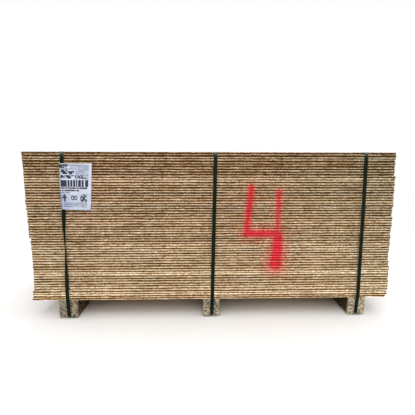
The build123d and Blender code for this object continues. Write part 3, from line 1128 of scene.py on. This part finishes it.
def print_row(finish, across, down, top, bottom, left, right, cell, share, seed):
    """A row of small cells, three high, of which a random share is inked."""
    inside = band(finish, top, bottom, down) * band(finish, left, right, across)
    column = (across / cell).whole() + 17.0 * seed
    row = ((down - top) / ((bottom - top) / 3.001)).whole()
    return inside * (finish.random_pair(column, row) < share)


# Each row of print: top, bottom, left, right, width of a cell, share inked, seed and strength
PRINT_ROWS = (
    (0.006, 0.031, 0.000, 0.054, 0.0062, 0.70, 31, 1.0),
    (0.033, 0.040, 0.014, 0.085, 0.0050, 0.60, 2, 0.6),
    (0.041, 0.073, 0.006, 0.096, 0.0105, 0.66, 33, 1.0),
    (0.049, 0.056, 0.104, 0.158, 0.0050, 0.60, 4, 0.5),
    (0.062, 0.069, 0.104, 0.136, 0.0050, 0.60, 5, 0.5),
    (0.079, 0.102, 0.006, 0.186, 0.0085, 0.66, 36, 1.0),
    (0.161, 0.171, 0.004, 0.184, 0.0060, 0.92, 21, 1.0),
    (0.177, 0.188, 0.002, 0.128, 0.0060, 0.88, 22, 0.95),
    (0.192, 0.199, 0.002, 0.066, 0.0060, 0.85, 23, 0.8),
    (0.264, 0.272, 0.024, 0.182, 0.0050, 0.74, 10, 0.6),
    (0.276, 0.284, 0.020, 0.186, 0.0050, 0.76, 11, 0.65),
    (0.288, 0.296, 0.022, 0.186, 0.0050, 0.72, 12, 0.6),
)


def label_marks(finish, across, down):
    """Three plain marks side by side: a ragged arrow, two rings and a square of random cells."""
    stem = band(finish, 0.022, 0.034, across, 0.002) * band(finish, 0.208, 0.258, down, 0.002)
    wing = abs(across - 0.028) - (down - 0.206) * 0.62
    head = finish.smooth(0.002, -0.002, wing) * band(finish, 0.206, 0.236, down, 0.002)
    ink = stem.highest(head)
    for middle in (0.083, 0.104):
        off_x = across - middle
        off_y = (down - 0.232) * 0.7
        ring = (off_x * off_x + off_y * off_y).root()
        ink = ink.highest(band(finish, 0.0055, 0.0115, ring, 0.001))
    cells = finish.random_pair((across / 0.0094).whole(), (down / 0.0086).whole() + 3.0)
    square = band(finish, 0.135, 0.182, across) * band(finish, 0.209, 0.260, down)
    return ink.highest(square * (cells < 0.58))


def paper_finish(settings):
    """Bluish paper with generic print: rows of inked cells, upright bars and three marks."""
    finish = Finish("label_paper")
    across = finish.attribute("across")
    down = finish.attribute("down")
    front = finish.attribute("front")
    ink = 0.0
    for *row, strength in PRINT_ROWS:
        ink = (print_row(finish, across, down, *row) * strength).highest(ink)
    thick = finish.random((across / 0.0155).whole() + 8.0)
    dense = finish.smooth(0.055, 0.030, across) * 0.35 + finish.smooth(0.140, 0.165, across) * 0.32
    bars = finish.random((across / 0.0047).whole() + 40.0) < 0.42 + thick * 0.30 + dense
    bars = bars * band(finish, 0.112, 0.158, down) * band(finish, 0.006, 0.190, across)
    ink = ink.highest(bars).highest(label_marks(finish, across, down) * 0.95)
    x, y, z = finish.parts(finish.place())
    stain = finish.noise(x / 0.06, y / 0.06, z / 0.06, 3.0)
    fibre = finish.noise(x / 0.002, y / 0.002, z / 0.002, 2.0)
    margin = finish.smooth(0.186, 0.198, across).highest(finish.smooth(0.296, 0.304, down))
    patch = finish.noise(x / 0.035, y / 0.035, z / 0.025, 4.0, 0.6)
    open_light = finish.smooth(0.03, 0.16, down) * 0.34 + finish.smooth(0.12, 0.02, across) * 0.16
    clean = finish.smooth(0.44, 0.84, patch + open_light).highest(margin * 0.9)
    paper = finish.mix(clean, settings.paper, (0.55, 0.58, 0.67))
    # Painted shade: the paper is darker along its left edge, where it is crumpled over the strap
    worn = finish.smooth(0.016, 0.0, across + (patch - 0.5) * 0.02) * 0.4
    paper = finish.shade(paper, (0.80 + stain * 0.34 + fibre * 0.06) * (1 - worn))
    # The paper is darker and bluer across its lower part, most at the left
    lower_darker = finish.smooth(0.19, 0.21, down) * (0.3 + finish.smooth(0.11, 0.02, across) * 0.6)
    paper = finish.mix(lower_darker, paper, (0.55, 0.60, 0.72), "MULTIPLY")
    strip = finish.smooth(0.0125, 0.0095, down + (stain - 0.5) * 0.006)
    strip_tone = finish.shade((0.48, 0.48, 0.52), 1 + finish.smooth(0.14, 0.18, across) * 0.3)
    paper = finish.mix(strip, paper, strip_tone)
    # Painted shadow: a dark line under the creased top strip, fainter to the right
    crease_shadow = band(finish, 0.0125, 0.0165, down + (stain - 0.5) * 0.006, 0.002)
    crease_shadow = crease_shadow * (1 - 0.75 * finish.smooth(0.10, 0.17, across))
    ink = ink.highest(crease_shadow * 0.8) * (0.82 + fibre * 0.3).lowest(1.0)
    colour = finish.mix(ink * front, paper, settings.ink)
    normal = finish.bump(stain, 0.002, 0.4)
    return finish.surface(Base_Color=colour, Roughness=0.6, Specular_IOR_Level=0.2, Normal=normal)


class OSB_OT_add_label(bpy.types.Operator):
    """Builds the paper label over the left strap"""
    bl_idname = "osb_stack.add_label"
    bl_label = "Label"

    def execute(self, context):
        settings = context.scene.osb_label
        piece = label_piece(settings, paper_finish(settings))
        dress(piece, "paper", "label")
        return {"FINISHED"}


# Stage

# Each soft light: name, place, size and power; all look at one point
LIGHT_TARGET = Vector((0.0, 0.0, 0.5))
LIGHTS = (
    ("sky_front", (0.0, -4.5, 4.5), 4.0, 182.0),
    ("sky_top", (0.5, 0.5, 5.5), 5.0, 130.0),
    ("sky_back", (0.5, 4.8, 3.8), 4.0, 130.0),
    ("sky_left", (-5.0, -0.5, 3.2), 4.0, 70.0),
    ("sky_right", (5.0, -0.5, 3.2), 4.0, 70.0),
)
FLOOR_HALF = 30.0
WHITE = (1.0, 1.0, 1.0, 1.0)


def area_light(name, place, size, power):
    """A square soft light."""
    data = bpy.data.lights.new(name, "AREA")
    data.size = size
    data.energy = power
    light = bpy.data.objects.new(name, data)
    bpy.context.scene.collection.objects.link(light)
    light.location = place
    light.rotation_euler = (LIGHT_TARGET - Vector(place)).to_track_quat("-Z", "Y").to_euler()


def floor_finish(settings):
    """Pale floor that keeps the stack's shadow and fades to white away from it."""
    finish = Finish("stage_floor")
    x, y, _ = finish.parts(finish.place())
    away = (x * x + y * y).root()
    mottle = finish.noise(x / 0.8, y / 0.8, 0.0, 3.0)
    colour = finish.shade(settings.floor, 0.99 + mottle * 0.02)
    rough = finish.node("BsdfDiffuse", None, {"Color": colour})
    glow = finish.node("Emission", None, {"Color": WHITE, "Strength": 1.0})
    fade = finish.smooth(1.9, 4.2, away) * finish.white_ray()
    mixed = finish.node("MixShader", None, {0: fade, 1: rough, 2: glow})
    finish.node("OutputMaterial", None, {"Surface": mixed})
    return finish.owner


def white_world(strength):
    """Even light from all round; the camera and reflections see white."""
    finish = Finish("stage_world", "worlds")
    level = strength + finish.white_ray() * (1 - strength)
    sky = finish.node("Background", None, {"Color": WHITE, "Strength": level})
    finish.node("OutputWorld", None, {"Surface": sky})
    return finish.owner


class OSB_OT_add_stage(bpy.types.Operator):
    """Sets the camera, the lights, the floor and the white surroundings"""
    bl_idname = "osb_stack.add_stage"
    bl_label = "Stage"

    def execute(self, context):
        settings = context.scene.osb_stage
        scene = context.scene
        scene.view_settings.view_transform = "Standard"
        data = bpy.data.cameras.new("photo_camera")
        data.sensor_width = 36.0
        data.lens = settings.lens
        data.clip_end = 200.0
        camera = bpy.data.objects.new("photo_camera", data)
        scene.collection.objects.link(camera)
        level = Matrix.Rotation(-settings.camera_yaw, 4, "Z")
        tilt = Matrix.Rotation(pi / 2 - settings.camera_pitch, 4, "X")
        roll = Matrix.Rotation(settings.camera_roll, 4, "Z")
        camera.matrix_world = Matrix.Translation(settings.camera_place) @ level @ tilt @ roll
        scene.camera = camera
        scene.world = white_world(settings.sky)
        for light in LIGHTS:
            area_light(*light)
        corners = np.array([(-1, -1, 0), (1, -1, 0), (1, 1, 0), (-1, 1, 0)]) * FLOOR_HALF
        floor = make_mesh("stage_floor", corners, [np.array([[0, 1, 2, 3]])], [floor_finish(settings)])
        return {"FINISHED"}


# Add-on

OPERATORS = (OSB_OT_add_boards, OSB_OT_add_bearers, OSB_OT_add_straps, OSB_OT_add_label, OSB_OT_add_stage)
SETTINGS = {
    "osb_boards": BoardSettings,
    "osb_paint": PaintSettings,
    "osb_bearers": BearerSettings,
    "osb_straps": StrapSettings,
    "osb_label": LabelSettings,
    "osb_stage": StageSettings,
}


class VIEW3D_PT_osb_stack(bpy.types.Panel):
    """Lists the stack's pieces and their settings"""
    bl_label = "OSB stack"
    bl_space_type = "VIEW_3D"
    bl_region_type = "UI"
    bl_category = "OSB stack"

    def draw(self, context):
        for operator in OPERATORS:
            self.layout.operator(operator.bl_idname)
        for key, group in SETTINGS.items():
            box = self.layout.box()
            box.label(text=group.__doc__)
            for name in group.__annotations__:
                box.prop(getattr(context.scene, key), name)


def register():
    for key, group in SETTINGS.items():
        bpy.utils.register_class(group)
        setattr(bpy.types.Scene, key, bpy.props.PointerProperty(type=group))
    for entry in (*OPERATORS, VIEW3D_PT_osb_stack):
        bpy.utils.register_class(entry)


def unregister():
    for entry in (VIEW3D_PT_osb_stack, *reversed(OPERATORS)):
        bpy.utils.unregister_class(entry)
    for key, group in reversed(SETTINGS.items()):
        delattr(bpy.types.Scene, key)
        bpy.utils.unregister_class(group)


def main():
    """Builds every piece."""
    register()
    bpy.ops.osb_stack.add_boards()
    bpy.ops.osb_stack.add_bearers()
    bpy.ops.osb_stack.add_straps()
    bpy.ops.osb_stack.add_label()
    bpy.ops.osb_stack.add_stage()


if __name__ == "__main__":
    main()
